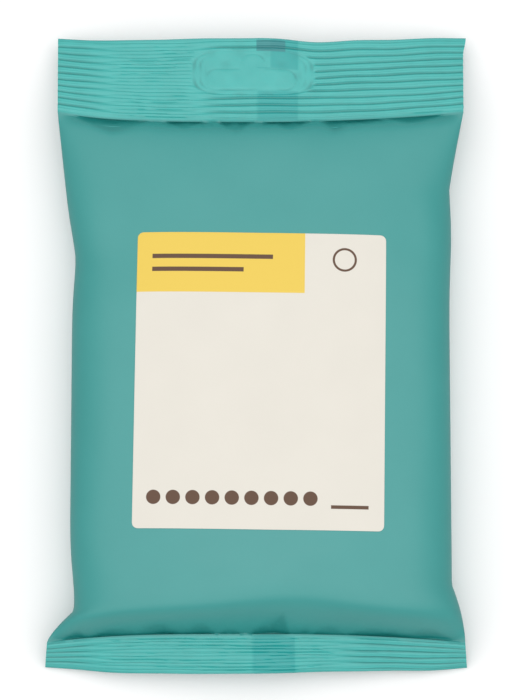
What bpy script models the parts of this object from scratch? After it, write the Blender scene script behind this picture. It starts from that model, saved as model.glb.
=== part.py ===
"""A sealed pillow bag of dried apricots, lying on its back.

Metres, +Z up. The front, with the label, faces up, and the top of the bag points along +Y. The origin
lies on the supporting surface, under the middle of the bounding box.

The bag is one web of film: a tube with a lengthwise fin seal down its back and a crimped seal at each
end. It is lofted from closed cross-sections, because no modifier turns a flat crimped strip into a full
round body. Across the film a place is given by c, from -1 at the left edge to 1 at the right. Along it
a place is given by a row of one of three zones: bottom seal, body or top seal.
"""

import math
import random

import bmesh
import bpy
import numpy as np
from mathutils import Euler, Matrix, Vector

# The bag
BAG_LENGTH = 0.2013
FLAT_HALF = 0.065           # half the width of the flat film tube
CROWN_HEIGHT = 0.0300       # the front film's highest line over the surface
EDGE_HEIGHT = 0.0125        # the body's widest line over the surface
BODY_LEFT = 0.0595          # the filled body, from the centre line to its left side
BODY_RIGHT = 0.0590
WALL = 0.0007
SLAB = 0.0011               # the two films of an end seal together
CAVITY_EDGE = 0.0003        # half the height of the hollow along its side edges

# The end seals: height, centre in X, half their length at the seal line and at the outer edge, height of
# the seal line in the middle, its fall to the corners, the seal's tilt in the middle and at the corners,
# how far the corners reach out beyond the middle (below 0: they stay back), the powers of c with which
# all these grow to the left and to the right, and the part of the height outside the axis of the tilt
TOP_SEAL = dict(end=1, height=0.028, centre=-0.0003, line_half=0.0643, edge_half=0.0651, line=0.0155,
                fall=0.0010, tilt=math.radians(7), corner_tilt=math.radians(20), bow=0.0019,
                powers=(3.2, 1.7), pivot=0.0, ribs=11)
BOTTOM_SEAL = dict(end=-1, height=0.0122, centre=-0.0017, line_half=0.0648, edge_half=0.0660, line=0.0126,
                   fall=0.0016, tilt=math.radians(8), corner_tilt=math.radians(54), bow=-0.0014,
                   powers=(1.75, 1.15), pivot=0.2, ribs=5)
RIB_DEPTH = 0.0004          # from the seal's middle surface to the top of a rib
SEAL_MARGIN = 0.0006        # plain strip along both edges of a seal

# How far from the seal lines the film takes to reach the body's full section. At the bottom the front
# climbs a straight slope to a knee, further out in an arch right of the middle than beside it. At the
# top it has a low knee of its own and then a long shoulder. The arch's centre and half width are in c.
BOTTOM_KNEE = 0.0063
BOTTOM_KNEE_ARCH = 0.0030
ARCH_CENTRE = 0.12
ARCH_HALF = 0.33
KNEE_SHARPNESS = 5.0
TOP_KNEE = 0.0035
TOP_KNEE_SHARE = 0.27
TOP_SHOULDER = 0.062
TOP_SHOULDER_POWER = 1.7
BACK_BOTTOM_SHOULDER = 0.024
BACK_TOP_SHOULDER = 0.045
BACK_SHOULDER_POWER = 2.2
SIDE_BLEND = 0.030

# The back film bridges a little between the four ends of its flat part: by how much, how far from the
# bottom seal line its middle is, the half width and half length of its level part, and how far out from
# that part it has come down to the surface, across and along
BRIDGE = 0.00005
BRIDGE_MIDDLE = 0.0705
BRIDGE_LEVEL = (0.012, 0.012)
BRIDGE_REACH = (0.029, 0.039)

# The ears: how far in from each corner the side edge meets the body, and the power by which it gets there
TOP_LEFT_EAR = (0.045, 1.0)
TOP_RIGHT_EAR = (0.024, 1.0)
BOTTOM_LEFT_EAR = (0.0094, 1.3)
BOTTOM_RIGHT_EAR = (0.0172, 1.75)

# Where the body's sides draw in or swell out: side, distance from the bottom seal line, depth, half length
WAISTS = ((-1, 0.012, 0.0014, 0.012), (-1, 0.116, 0.0009, 0.011), (1, 0.124, -0.0008, 0.015))

# The fin seal, a flat band down the back
FIN_CENTRE = 0.0055
FIN_WIDTH = 0.013
FIN_STEP = 0.0004
FIN_FADE = 0.011

# The plain pad pressed in the top seal for the hang slot
PAD_CENTRE = -0.0024
PAD_FROM_EDGE = 0.0115
PAD_HALF_LENGTH = 0.0197
PAD_HALF_HEIGHT = 0.0076

# A pin vent in the back film lets the bag settle flat
VENT_RADIUS = 0.0006
VENT_PLACE = (-0.020, 0.058)

# The stuck-on label
LABEL_WIDTH = 0.077
LABEL_HEIGHT = 0.092
LABEL_CENTRE = (-0.0005, -0.01135)
LABEL_TURN = math.radians(-0.8)
LABEL_CORNER = 0.0018
LABEL_THICKNESS = 0.0006
GAP = 0.0003

# The fruit
FRUIT_RADII = (0.0163, 0.0143, 0.0067)
FRUIT_SPREAD = 0.05         # the largest part by which a fruit's radii differ from these
FRUIT_TILT = math.radians(5)
FRUIT_YAW = 0.25
LOWER_ROWS = 5
UPPER_ROWS = 3
FRUIT_ACROSS = 3
ROW_PITCH = 0.0305
LOWER_PITCH = 0.0356
UPPER_PITCH = 0.0344
FIRST_ROW = -0.0690
FRUIT_GAP = 0.0005
SEED = 11

# The mesh
COLUMNS = 24
COLUMN_CROWDING = 0.55      # 0 for even columns, 1 for columns crowded at the sides by a sine
BODY_ROWS = 26
ROW_CROWDING = 0.6
FIRST_CAVITY_ROW = 0.0026   # how far inside each seal line the cavity starts

HALF_LENGTH = BAG_LENGTH / 2
BODY_LENGTH = BAG_LENGTH - TOP_SEAL["height"] - BOTTOM_SEAL["height"]


def smooth(s):
    """Rise from 0 to 1 with level ends while s goes from 0 to 1."""
    s = np.clip(s, 0.0, 1.0)
    return s * s * (3.0 - 2.0 * s)


def shoulder(distance, reach, power):
    """Rise from 0 to 1 along a quarter of a superellipse while distance goes from 0 to reach."""
    s = np.clip(distance / reach, 0.0, 1.0)
    return (1.0 - (1.0 - s) ** power) ** (1.0 / power)


def knee(distance, reach):
    """Rise in a straight line that would meet 1 at reach, but bends over to run level just below it."""
    s = distance / reach
    return s / (1.0 + s ** KNEE_SHARPNESS) ** (1.0 / KNEE_SHARPNESS)


def to_corner(seal, c):
    """0 in the middle of a seal and 1 at its corners, by a power of c for each side."""
    return np.abs(c) ** np.where(c < 0, *seal["powers"])


def seal_tilt(seal, c):
    """The angle by which a seal's outer edge hangs down, growing towards the corners."""
    return seal["tilt"] + (seal["corner_tilt"] - seal["tilt"]) * to_corner(seal, c)


def seal_line_height(seal, c):
    """The height of the line where the seal meets the body."""
    return seal["line"] - seal["fall"] * to_corner(seal, c)


def seal_point(seal, c, run):
    """The middle surface of a seal, run metres in from its outer edge: x, y, z and the normal."""
    tilt = seal_tilt(seal, c)
    pivot = seal["pivot"] * seal["height"]
    inward = run / seal["height"]
    x = seal["centre"] + (seal["edge_half"] * (1.0 - inward) + seal["line_half"] * inward) * c
    bow = seal["bow"] * to_corner(seal, c)
    y = seal["end"] * (HALF_LENGTH + bow - pivot + (pivot - run) * np.cos(tilt))
    z = seal_line_height(seal, c) - (seal["height"] - run) * np.sin(tilt)
    normal = np.stack([0 * c, seal["end"] * np.sin(tilt), np.cos(tilt)], axis=-1)
    return x, y, z, normal


def pad_mask(c, run):
    """1 on the ribs of the top seal, and 0 on the oblong pad, an ellipse of the fourth power."""
    across = (FLAT_HALF * c - PAD_CENTRE) / PAD_HALF_LENGTH
    along = (run - PAD_FROM_EDGE) / PAD_HALF_HEIGHT
    return np.where(across ** 4 + along ** 4 > 1.0, 1.0, 0.0)


def fin_relief(c, fade):
    """How far the back film stands off the fin's plane: none on the fin, a step beside it."""
    off = np.abs(FLAT_HALF * c - FIN_CENTRE) - FIN_WIDTH / 2
    beside = np.clip(1.0 - off / FIN_FADE, 0.0, 1.0) * fade + (1.0 - fade)
    return np.where(off > 1e-9, FIN_STEP * beside, 0.0)


def ear(distance, reach, power):
    """1 at a seal's corner, falling to 0 where the ear's edge meets the side of the body."""
    return 1.0 - np.clip(distance / reach, 0.0, 1.0) ** power


def sides(t):
    """The body's left and right limits in X at t, from 0 at the bottom seal to 1 at the top one."""
    low, high = t * BODY_LENGTH, (1.0 - t) * BODY_LENGTH
    limits = []
    for sign, body, low_ear, high_ear in ((-1, BODY_LEFT, BOTTOM_LEFT_EAR, TOP_LEFT_EAR),
                                          (1, BODY_RIGHT, BOTTOM_RIGHT_EAR, TOP_RIGHT_EAR)):
        x = body
        for seal, share in ((BOTTOM_SEAL, ear(low, *low_ear)), (TOP_SEAL, ear(high, *high_ear))):
            x = x + (seal["line_half"] + sign * seal["centre"] - body) * share
        for side, place, depth, half in WAISTS:
            x = x - (side == sign) * depth * np.exp(-((low - place) / half) ** 2) * smooth(low / half)
        limits.append(sign * x)
    return limits


def body_base(c, t):
    """The surface through both side edges: the seal lines' heights fade to the body's edge height."""
    low = 1.0 - smooth(t * BODY_LENGTH / SIDE_BLEND)
    high = 1.0 - smooth((1.0 - t) * BODY_LENGTH / SIDE_BLEND)
    rest = EDGE_HEIGHT * (1.0 - low - high)
    return low * seal_line_height(BOTTOM_SEAL, c) + high * seal_line_height(TOP_SEAL, c) + rest


def front_fullness(c, t):
    """How much of its full height the front film has reached, the product of both ends' shapes."""
    arch = BOTTOM_KNEE_ARCH * np.exp(-((c - ARCH_CENTRE) / ARCH_HALF) ** 2)
    bottom = knee(t * BODY_LENGTH, BOTTOM_KNEE + arch)
    distance = (1.0 - t) * BODY_LENGTH
    long_part = shoulder(distance, TOP_SHOULDER, TOP_SHOULDER_POWER)
    return bottom * (TOP_KNEE_SHARE * knee(distance, TOP_KNEE) + (1.0 - TOP_KNEE_SHARE) * long_part)


def back_fullness(t):
    """How far the back film has come down to the surface that the bag lies on."""
    low = shoulder(t * BODY_LENGTH, BACK_BOTTOM_SHOULDER, BACK_SHOULDER_POWER)
    return low * shoulder((1.0 - t) * BODY_LENGTH, BACK_TOP_SHOULDER, BACK_SHOULDER_POWER)


def body_y(c, t):
    """The place along the bag: a straight mix of the two seal lines."""
    bottom = seal_point(BOTTOM_SEAL, c, BOTTOM_SEAL["height"])[1]
    top = seal_point(TOP_SEAL, c, TOP_SEAL["height"])[1]
    return bottom * (1.0 - t) + top * t


def front_rise(c, t):
    """How far the front film stands over the base: a lens by the seals, flat with round sides between."""
    full = front_fullness(c, t)
    section = (1.0 - np.abs(c) ** (2.0 + 1.3 * full)) ** (1.0 / (1.0 + 1.3 * full))
    return (CROWN_HEIGHT - body_base(0.0 * c, t)) * full * section


def back_drop(c, t):
    """How far the back film hangs under the base, cut off level at the surface the bag lies on."""
    full = back_fullness(t)
    section = np.clip(1.05 * (1.0 - np.abs(c) ** (2.0 + 2.2 * full)) ** (1.0 / (1.0 + full)), 0.0, 1.0)
    return (body_base(c, t) - SLAB / 2) * full * section


def back_bridge(c, t):
    """How far the back film bridges clear of the surface, a level patch that falls away all round."""
    across = np.maximum(np.abs(FLAT_HALF * c) - BRIDGE_LEVEL[0], 0.0) / BRIDGE_REACH[0]
    along = np.maximum(np.abs(t * BODY_LENGTH - BRIDGE_MIDDLE) - BRIDGE_LEVEL[1], 0.0) / BRIDGE_REACH[1]
    return BRIDGE * (1.0 - np.minimum(across ** 2 + along ** 2, 1.0))


def seal_ring(seal, c, run, crest):
    """One closed section of an end seal: front points from left to right, then the back ones."""
    x, y, z, normal = seal_point(seal, c, run)
    mask = pad_mask(c, run) if seal["end"] > 0 else 1.0
    middle = np.stack([x, y, z], axis=-1) + normal * (RIB_DEPTH * crest * mask)[..., None]
    front = middle + normal * SLAB / 2
    back = middle - normal * (SLAB / 2 - fin_relief(c, 0.0))[..., None]
    return np.concatenate([front, back[::-1]])


def seal_rings(seal, c):
    """The rings of a seal from its outer edge to the seal line: a zigzag of ribs between two margins."""
    ribbed = seal["height"] - 2 * SEAL_MARGIN
    steps = 2 * seal["ribs"]
    runs = [SEAL_MARGIN + ribbed * k / steps for k in range(steps + 1)]
    rings = [seal_ring(seal, c, 0.0, 0.0 * c)]
    for k, run in enumerate(runs):
        rings.append(seal_ring(seal, c, run, 0.0 * c + (1.0 if k % 2 else -1.0)))
    return rings


def body_place(c, t):
    """The across place in the body's section: the film keeps its width in the middle of the bag."""
    left, right = sides(t)
    stretch = 2.0 * FLAT_HALF / (right - left)
    return stretch * c + (1.0 - stretch) * c ** 5


def body_ring(c, t):
    """One closed section of the body's outside."""
    e = body_place(c, t)
    left, right = sides(t)
    x = (left + right) / 2 + (right - left) / 2 * e
    y = body_y(e, t)
    base = body_base(e, t)
    front = np.stack([x, y, base + SLAB / 2 + front_rise(e, t)], axis=-1)
    clear = fin_relief(c, back_fullness(t)) + back_bridge(c, t)
    back = np.stack([x, y, base - SLAB / 2 - back_drop(e, t) + clear], axis=-1)
    return np.concatenate([front, back[::-1]])


def cavity_ring(c, t):
    """One section of the film's inside: the outside shrunk towards its base by the film's thickness."""
    e = body_place(c, t)
    left, right = sides(t)
    half = (right - left) / 2
    depth = (front_rise(0.0 * e, t) + back_drop(0.0 * e, t)) / 2
    margin = WALL * np.maximum(1.0, half / (2 * depth))
    x = (left + right) / 2 + (half - margin) * e
    y = body_y(e, t)
    base = body_base(e, t)
    inset = WALL + CAVITY_EDGE - SLAB / 2
    up = front_rise(e, t) * (1.0 - inset / front_rise(0.0 * e, t))
    down = back_drop(e, t) * (1.0 - (inset + FIN_STEP) / back_drop(0.0 * e, t))
    front = np.stack([x, y, base + up + CAVITY_EDGE], axis=-1)
    back = np.stack([x, y, base - down - CAVITY_EDGE], axis=-1)
    return np.concatenate([front, back[::-1]])


def film_columns():
    """The across parameters: even ones, and a close pair at each edge of the fin."""
    even = np.linspace(-1.0, 1.0, COLUMNS + 1)
    even = (1.0 - COLUMN_CROWDING) * even + COLUMN_CROWDING * np.sin(math.pi / 2 * even)
    edges = [(FIN_CENTRE + s * FIN_WIDTH / 2) / FLAT_HALF for s in (-1, 1)]
    step = 2 * FIN_STEP / FLAT_HALF
    kept = [c for c in even if min(abs(c - e) for e in edges) > 2.0 * step]
    pairs = [e + s * k for s, e in zip((-1, 1), edges) for k in (0.0, step)]
    return np.array(sorted(kept + pairs))


def body_rows():
    """The along parameters between the seal lines, closer together at both ends."""
    even = np.linspace(0.0, 1.0, BODY_ROWS + 2)[1:-1]
    return (1.0 - ROW_CROWDING) * even + ROW_CROWDING * (1.0 - np.cos(math.pi * even)) / 2


def loft(mesh, rings, inward=False):
    """Skin closed rings of equal size and close both ends with strips between front and back."""
    size = len(rings[0])
    grid = [[mesh.verts.new(p) for p in ring] for ring in rings]
    faces = []
    for low, high in zip(grid, grid[1:]):
        for k in range(size):
            n = (k + 1) % size
            faces.append(mesh.faces.new((low[k], low[n], high[n], high[k])))
    for ring in (grid[0], grid[-1]):
        for k in range(size // 2 - 1):
            faces.append(mesh.faces.new((ring[k], ring[k + 1], ring[size - 2 - k], ring[size - 1 - k])))
    bmesh.ops.recalc_face_normals(mesh, faces=faces)
    if inward:
        bmesh.ops.reverse_faces(mesh, faces=faces)


def new_object(name, mesh, material, collection):
    """Put a finished bmesh into an object with one material."""
    data = bpy.data.meshes.new(name)
    mesh.to_mesh(data)
    mesh.free()
    data.materials.append(material)
    thing = bpy.data.objects.new(name, data)
    collection.objects.link(thing)
    return thing


def principled(name, colour, roughness, metallic=0.0):
    """A Principled material."""
    material = bpy.data.materials.new(name)
    material.use_nodes = True
    shader = material.node_tree.nodes["Principled BSDF"]
    shader.inputs["Base Color"].default_value = (*colour, 1.0)
    shader.inputs["Roughness"].default_value = roughness
    shader.inputs["Metallic"].default_value = metallic
    return material


def build_film(collection, cutters):
    """The film: outside and inside skins, joined by the pin vent in the back."""
    c = film_columns()
    rows = body_rows()
    outside = seal_rings(BOTTOM_SEAL, c)
    outside += [body_ring(c, t) for t in rows]
    outside += seal_rings(TOP_SEAL, c)[::-1]
    first = FIRST_CAVITY_ROW / BODY_LENGTH
    inner_rows = [first] + [t for t in rows if 1.5 * first < t < 1.0 - 2.5 * first] + [1.0 - 2.0 * first]
    mesh = bmesh.new()
    loft(mesh, outside)
    loft(mesh, [cavity_ring(c, t) for t in inner_rows], inward=True)
    film = new_object("film_bag", mesh, principled("teal_film", (0.10, 0.38, 0.36), 0.4), collection)

    x, y = VENT_PLACE
    pin = bmesh.new()
    bmesh.ops.create_cone(pin, cap_ends=True, segments=8, radius1=VENT_RADIUS, radius2=VENT_RADIUS,
                          depth=6 * WALL, matrix=Matrix.Translation((x, y, film_height(x, y, body_ring, 1))))
    cutter = new_object("vent_cutter", pin, film.data.materials[0], cutters)
    cutter.hide_render = True
    cutter.display_type = "WIRE"
    vent = film.modifiers.new("vent", "BOOLEAN")
    vent.operation = "DIFFERENCE"
    vent.object = cutter
    return film, cutter


def film_height(x, y, ring, back):
    """The height of a ring family's front (back=0) or back (back=1) over the place x, y."""
    c = np.linspace(-1.0, 1.0, 61)
    bottom = seal_point(BOTTOM_SEAL, 0.0 * c, BOTTOM_SEAL["height"])[1][0]
    top = seal_point(TOP_SEAL, 0.0 * c, TOP_SEAL["height"])[1][0]
    t = (y - bottom) / (top - bottom)
    for _ in range(3):
        points = ring(c, t)
        points = points[len(c):][::-1] if back else points[:len(c)]
        here = np.interp(x, points[:, 0], points[:, 1])
        t = min(max(t + (y - here) / (top - bottom), 0.03), 0.97)
    return float(np.interp(x, points[:, 0], points[:, 2]))


def label_lines(length, count):
    """Places along one side of the label: even ones, and the corner radius at both ends."""
    inner = np.linspace(LABEL_CORNER, length - LABEL_CORNER, count)
    return np.concatenate([[0.0], inner, [length]]) - length / 2


def build_label(collection):
    """The label: a thin plate that follows the front film, with its four corners rounded."""
    across = label_lines(LABEL_WIDTH, 12)
    along = label_lines(LABEL_HEIGHT, 14)
    turn = Matrix.Rotation(LABEL_TURN, 2)
    pull = LABEL_CORNER * (1.0 - math.sqrt(0.5))
    rings = []
    for v in along:
        row = []
        for u in across:
            corner = abs(u) > LABEL_WIDTH / 2 - 1e-9 and abs(v) > LABEL_HEIGHT / 2 - 1e-9
            inward = pull if corner else 0.0
            place = turn @ Vector((u - math.copysign(inward, u), v - math.copysign(inward, v)))
            x, y = place.x + LABEL_CENTRE[0], place.y + LABEL_CENTRE[1]
            row.append((x, y, film_height(x, y, body_ring, 0) + GAP))
        low = np.array(row)
        rings.append(np.concatenate([low + (0.0, 0.0, LABEL_THICKNESS), low[::-1]]))
    mesh = bmesh.new()
    loft(mesh, rings)
    return new_object("front_label", mesh, principled("label_paper", (0.82, 0.79, 0.72), 0.6), collection)


class Fruit:
    """One dried apricot: a flattened ball with a wavy rim and a dimple where the stone was."""

    def __init__(self, draw, x, y):
        stretch = [1.0 + draw.uniform(-FRUIT_SPREAD, FRUIT_SPREAD) for _ in FRUIT_RADII]
        self.radii = Vector([r * s for r, s in zip(FRUIT_RADII, stretch)])
        self.turn = Euler((draw.uniform(-FRUIT_TILT, FRUIT_TILT), draw.uniform(-FRUIT_TILT, FRUIT_TILT),
                           draw.uniform(-FRUIT_YAW, FRUIT_YAW))).to_matrix()
        self.phase = draw.uniform(0.0, 2 * math.pi)
        self.centre = Vector((x, y, 0.0))

    def mesh(self):
        """The fruit's mesh in place. The rim waves inside the ellipsoid, so that bounds the fruit."""
        ball = bmesh.new()
        bmesh.ops.create_uvsphere(ball, u_segments=12, v_segments=7, radius=1.0)
        for v in ball.verts:
            angle = math.atan2(v.co.y, v.co.x)
            flat = math.hypot(v.co.x, v.co.y)
            rim = 0.95 + 0.05 * math.sin(3 * angle + self.phase)
            dimple = 1.0 - 0.35 * math.exp(-(flat / 0.4) ** 2)
            shaped = Vector((v.co.x * rim * self.radii.x, v.co.y * rim * self.radii.y,
                             v.co.z * dimple * self.radii.z))
            v.co = self.turn @ shaped + self.centre
        return ball

    def top(self, x, y):
        """The height of the bounding ellipsoid's upper side over x, y, or None beside it."""
        spread = Matrix.Diagonal([1.0 / r ** 2 for r in self.radii])
        a = self.turn @ spread @ self.turn.transposed()
        dx, dy = x - self.centre.x, y - self.centre.y
        linear = a[0][2] * dx + a[1][2] * dy
        rest = a[0][0] * dx * dx + 2 * a[0][1] * dx * dy + a[1][1] * dy * dy - 1.0
        inside = linear * linear - a[2][2] * rest
        return self.centre.z + (math.sqrt(inside) - linear) / a[2][2] if inside > 0 else None

    def settle(self, below):
        """Lower the fruit until it is FRUIT_GAP clear of the film and of the fruit below it."""
        ball = self.mesh()
        lift = -1.0
        for v in ball.verts:
            x, y, z = v.co
            floor = [film_height(x, y, cavity_ring, 1)]
            floor += [h for h in (fruit.top(x, y) for fruit in below) if h is not None]
            lift = max(lift, max(floor) + FRUIT_GAP - z)
        ball.free()
        self.centre.z += lift


def build_fruit(collection):
    """Two layers of fruit, the upper rows over the gaps of the lower, each fruit lowered into place."""
    material = principled("apricot_flesh", (0.45, 0.16, 0.03), 0.5)
    draw = random.Random(SEED)
    lower, upper = [], []
    for layer, rows, start, pitch in ((lower, LOWER_ROWS, 0.0, LOWER_PITCH),
                                      (upper, UPPER_ROWS, ROW_PITCH / 2, UPPER_PITCH)):
        for row in range(rows):
            for k in range(FRUIT_ACROSS):
                x = (k - (FRUIT_ACROSS - 1) / 2) * pitch
                fruit = Fruit(draw, x, FIRST_ROW + start + row * ROW_PITCH)
                fruit.settle(lower if layer is upper else [])
                layer.append(fruit)
    for number, fruit in enumerate(lower + upper, start=1):
        new_object(f"apricot_{number:02d}", fruit.mesh(), material, collection)


def stand_on_origin(collection, film, extra):
    """Hang everything on an empty that puts the middle of the bag's bounding box over the origin."""
    corners = np.array([v.co for v in film.data.vertices])
    middle = (corners.min(axis=0) + corners.max(axis=0)) / 2
    frame = bpy.data.objects.new("bag_frame", None)
    frame.location = (-middle[0], -middle[1], 0.0)
    collection.objects.link(frame)
    for thing in [*collection.objects, extra]:
        if thing is not frame:
            thing.parent = frame


def main():
    """Clear the scene and build the bag, its label and its fruit."""
    for thing in list(bpy.data.objects):
        bpy.data.objects.remove(thing, do_unlink=True)
    collection = bpy.data.collections.new("apricot_bag")
    cutters = bpy.data.collections.new("cutters")
    bpy.context.scene.collection.children.link(collection)
    bpy.context.scene.collection.children.link(cutters)
    film, cutter = build_film(collection, cutters)
    build_label(collection)
    build_fruit(collection)
    stand_on_origin(collection, film, cutter)


main()
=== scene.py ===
"""Dress the sealed pillow bag of dried apricots: crimped teal film, a stuck-on paper label and the fruit.

A Blender add-on that is run as a script. Lengths are in metres unless a name or a comment says otherwise.
Across the film a place is given by c, from -1 at its left edge to 1 at its right, and along it by the
distance from the outer edge of an end seal, or by t, from 0 at the bottom seal's line to 1 at the top's.
"""

import math

import bpy
import numpy as np
from bpy.props import FloatProperty, FloatVectorProperty, IntProperty, PointerProperty
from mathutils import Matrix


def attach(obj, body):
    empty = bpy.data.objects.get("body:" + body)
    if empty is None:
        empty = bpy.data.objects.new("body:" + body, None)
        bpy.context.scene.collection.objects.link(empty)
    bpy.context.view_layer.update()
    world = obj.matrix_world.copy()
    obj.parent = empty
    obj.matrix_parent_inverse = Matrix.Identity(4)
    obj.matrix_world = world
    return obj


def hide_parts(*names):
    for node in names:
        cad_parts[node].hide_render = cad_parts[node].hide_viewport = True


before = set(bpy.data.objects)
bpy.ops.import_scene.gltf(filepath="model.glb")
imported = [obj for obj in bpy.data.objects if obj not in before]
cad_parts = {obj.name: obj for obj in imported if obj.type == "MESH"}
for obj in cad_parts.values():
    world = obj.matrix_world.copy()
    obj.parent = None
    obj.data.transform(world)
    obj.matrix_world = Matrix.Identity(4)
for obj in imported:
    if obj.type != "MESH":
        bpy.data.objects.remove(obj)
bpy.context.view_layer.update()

bl_info = {
    "name": "Pillow bag of dried fruit",
    "version": (1, 0, 0),
    "blender": (4, 5, 0),
    "location": "3D View > Sidebar > Pillow bag",
    "description": "Builds the film bag, its label, the fruit inside and a plain stage",
    "category": "Add Mesh",
}

MM = 0.001
NO_TRIANGLES = np.empty((0, 3), dtype=int)

# Where the bag's own middle lies in the frame
SHIFT = (0.00145, -0.001018)

# The bag's form, the same numbers as its solid has
BAG_LENGTH = 0.2013
FLAT_HALF = 0.065
CROWN_HEIGHT = 0.0300
EDGE_HEIGHT = 0.0125
BODY_LEFT = 0.0595
BODY_RIGHT = 0.0590
SOLID_SLAB = 0.0011
CAVITY_EDGE = 0.0003
TOP_SEAL = dict(end=1, height=0.028, centre=-0.0003, line_half=0.0643, edge_half=0.0651, line=0.0155,
                fall=0.0010, tilt=math.radians(7), corner_tilt=math.radians(20), bow=0.0019,
                powers=(3.2, 1.7), pivot=0.0, ribs=11, split=-0.15)
BOTTOM_SEAL = dict(end=-1, height=0.0122, centre=-0.0017, line_half=0.0648, edge_half=0.0660, line=0.0126,
                   fall=0.0016, tilt=math.radians(8), corner_tilt=math.radians(54), bow=-0.0014,
                   powers=(1.75, 1.15), pivot=0.2, ribs=5, split=0.55)
SEAL_MARGIN = 0.0006
BOTTOM_KNEE = 0.0063
BOTTOM_KNEE_ARCH = 0.0030
ARCH_CENTRE = 0.12
ARCH_HALF = 0.33
KNEE_SHARPNESS = 5.0
TOP_KNEE = 0.0035
TOP_KNEE_SHARE = 0.27
TOP_SHOULDER = 0.062
TOP_SHOULDER_POWER = 1.7
BACK_BOTTOM_SHOULDER = 0.024
BACK_TOP_SHOULDER = 0.045
BACK_SHOULDER_POWER = 2.2
SIDE_BLEND = 0.030
TOP_LEFT_EAR = (0.045, 1.0)
TOP_RIGHT_EAR = (0.024, 1.0)
BOTTOM_LEFT_EAR = (0.0094, 1.3)
BOTTOM_RIGHT_EAR = (0.0172, 1.75)
WAISTS = ((-1, 0.012, 0.0014, 0.012), (-1, 0.116, 0.0009, 0.011), (1, 0.124, -0.0008, 0.015))
FIN_CENTRE = 0.0055
FIN_WIDTH = 0.013
FIN_STEP = 0.0004
FIN_FADE = 0.011
PAD_CENTRE = -0.0024
PAD_FROM_EDGE = 0.0115
PAD_HALF_LENGTH = 0.0197
PAD_HALF_HEIGHT = 0.0076
FRONT_POWER = 1.3
BACK_POWER = 2.2
BACK_CUT = 1.05
HALF_LENGTH = BAG_LENGTH / 2
BODY_LENGTH = BAG_LENGTH - TOP_SEAL["height"] - BOTTOM_SEAL["height"]

# The skin's finer relief, which the solid leaves out. A wave is its size, its rates across and along,
# and its start, in radians. Between SPLIT_FROM and a seal's split, fine ribs share the place of broad ones
RIB_ROWS = 12
RIB_STEEPNESS = 2.6
RIB_FULLNESS = 0.55
RIB_GROOVE = 0.22
RIB_WANDER = ((0.05, 6.0, 9.0, 0.0), (0.03, 19.0, -14.0, 0.0))
RIB_UNEVEN = ((0.12, 4.0, 11.0, 0.6),)
SPLIT_FROM = -0.90
SPLIT_FADE = 0.25
FINE_SHARE = 0.675
SEAL_SWAY = ((0.00022, 9.0, 0.0, 1.0), (0.00015, 17.0, 90.0, 0.0))
BOTTOM_EDGE_WAVE = ((0.00025, 4.0, 0.0, 0.6),)
TOP_EDGE_OUT = 0.0002
TOP_EDGE_DIPS = ((0.0009, -0.70, 0.28), (0.0012, 0.27, 0.17), (0.0006, 0.62, 0.25))
FLARE = 0.0009
FLARE_FROM = 0.9
FLARE_WIDTH = 0.1
FLARE_RUN = 0.007
FIN_EDGE = 0.0006
FIN_EXTRA = 0.00010
FIN_RIDGE = 0.00007
FIN_RIDGE_PITCH = 0.0021
FIN_LEFT_PAST_PAD = 0.0033
FIN_HIDDEN = (0.0098, 0.0182)
CUT_EDGE = 0.00045
PAD_BORDER_WIDTH = 0.0005
PAD_ARCS_FROM = 0.0140
PAD_ARC_PITCH = 0.0019
SLOT_CUT_WIDTH = 0.00035
FINE_ACROSS_MM = (-23.0, 19.01, 0.55)
LEFT_COLUMNS = 46
RIGHT_COLUMNS = 48
BODY_ROWS = 82
CLOSE_ROWS = 7
CLOSE_STEP = 0.00014
THICKNESS_BLEND = 0.012
SIDE_FADE = 8
PUCKER_START = 0.0009
POCKET_START = 0.0004
LOW_POCKET_DEPTH = 0.0005
HIGH_POCKET_DEPTH = 0.0008
CREASE_START = 0.0005
CREASE_CREST = 0.0006
CREASE_REACH = 0.0015
LOW_CREASE = (0.20, ((0.15, 13.0, 0.0, 0.0),))
HIGH_CREASE = (0.0, ((0.25, 15.0, 0.0, 0.8),))
LOW_CREASE_DEPTH = 0.0014
HIGH_CREASE_DEPTH = 0.0010
HOLLOW_SIDE = 0.0006
HOLLOW_INSET = 0.0009
HOLLOW_SPAN = (0.02, 0.98)
HOLLOW_ROWS = 50
HOLLOW_COLUMNS = 61
FILM_SHARP = math.radians(62)

# The die-cut slot in the pad: a bar with round ends and a hump over its middle
SLOT_CENTRE = (-0.0030, 0.0138)
SLOT_HALF_LENGTH = 0.0144
SLOT_HALF_HEIGHT = 0.0035
HUMP_CENTRE = (-0.0026, 0.0095)
HUMP_RADIUS = 0.0042

# The label on the front
LABEL_WIDTH = 0.077
LABEL_HEIGHT = 0.092
LABEL_CENTRE = (-0.0005, -0.01135)
LABEL_TURN = math.radians(-0.8)
LABEL_CORNER = 0.0018
LABEL_GAP = 0.00005
LABEL_COLUMNS = 57
LABEL_ROWS = 67
CORNER_ROWS = 7
LABEL_SHARP = math.radians(40)
ROUGH_HALF = 0.0592

# Each fruit's grid
FRUIT_COLUMNS = 48
FRUIT_ROWS = 31

# Print, in mm: a box is left, right, top and bottom from the label's top left corner, the ring its middle,
# radius and half width, and the film's mark its middle and half size across, then both along
LABEL_PANEL = (-3.0, 51.9, -3.0, 18.9)
LABEL_BARS = ((4.7, 42.0, 6.9, 8.3), (4.7, 33.0, 11.0, 12.4), (60.7, 72.2, 84.3, 85.4))
LABEL_RING = (64.2, 8.2, 3.4, 0.35)
DOTS_BOX = (3.4, 57.4, 78.0, 87.0)
DOTS_LINE = 82.4
DOT_PITCH = 6.0
DOT_RADIUS = 2.2
PRINT_EDGE = 0.08
REGISTER_MARK = (3.3, 4.6, 98.2, 1.9)

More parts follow.
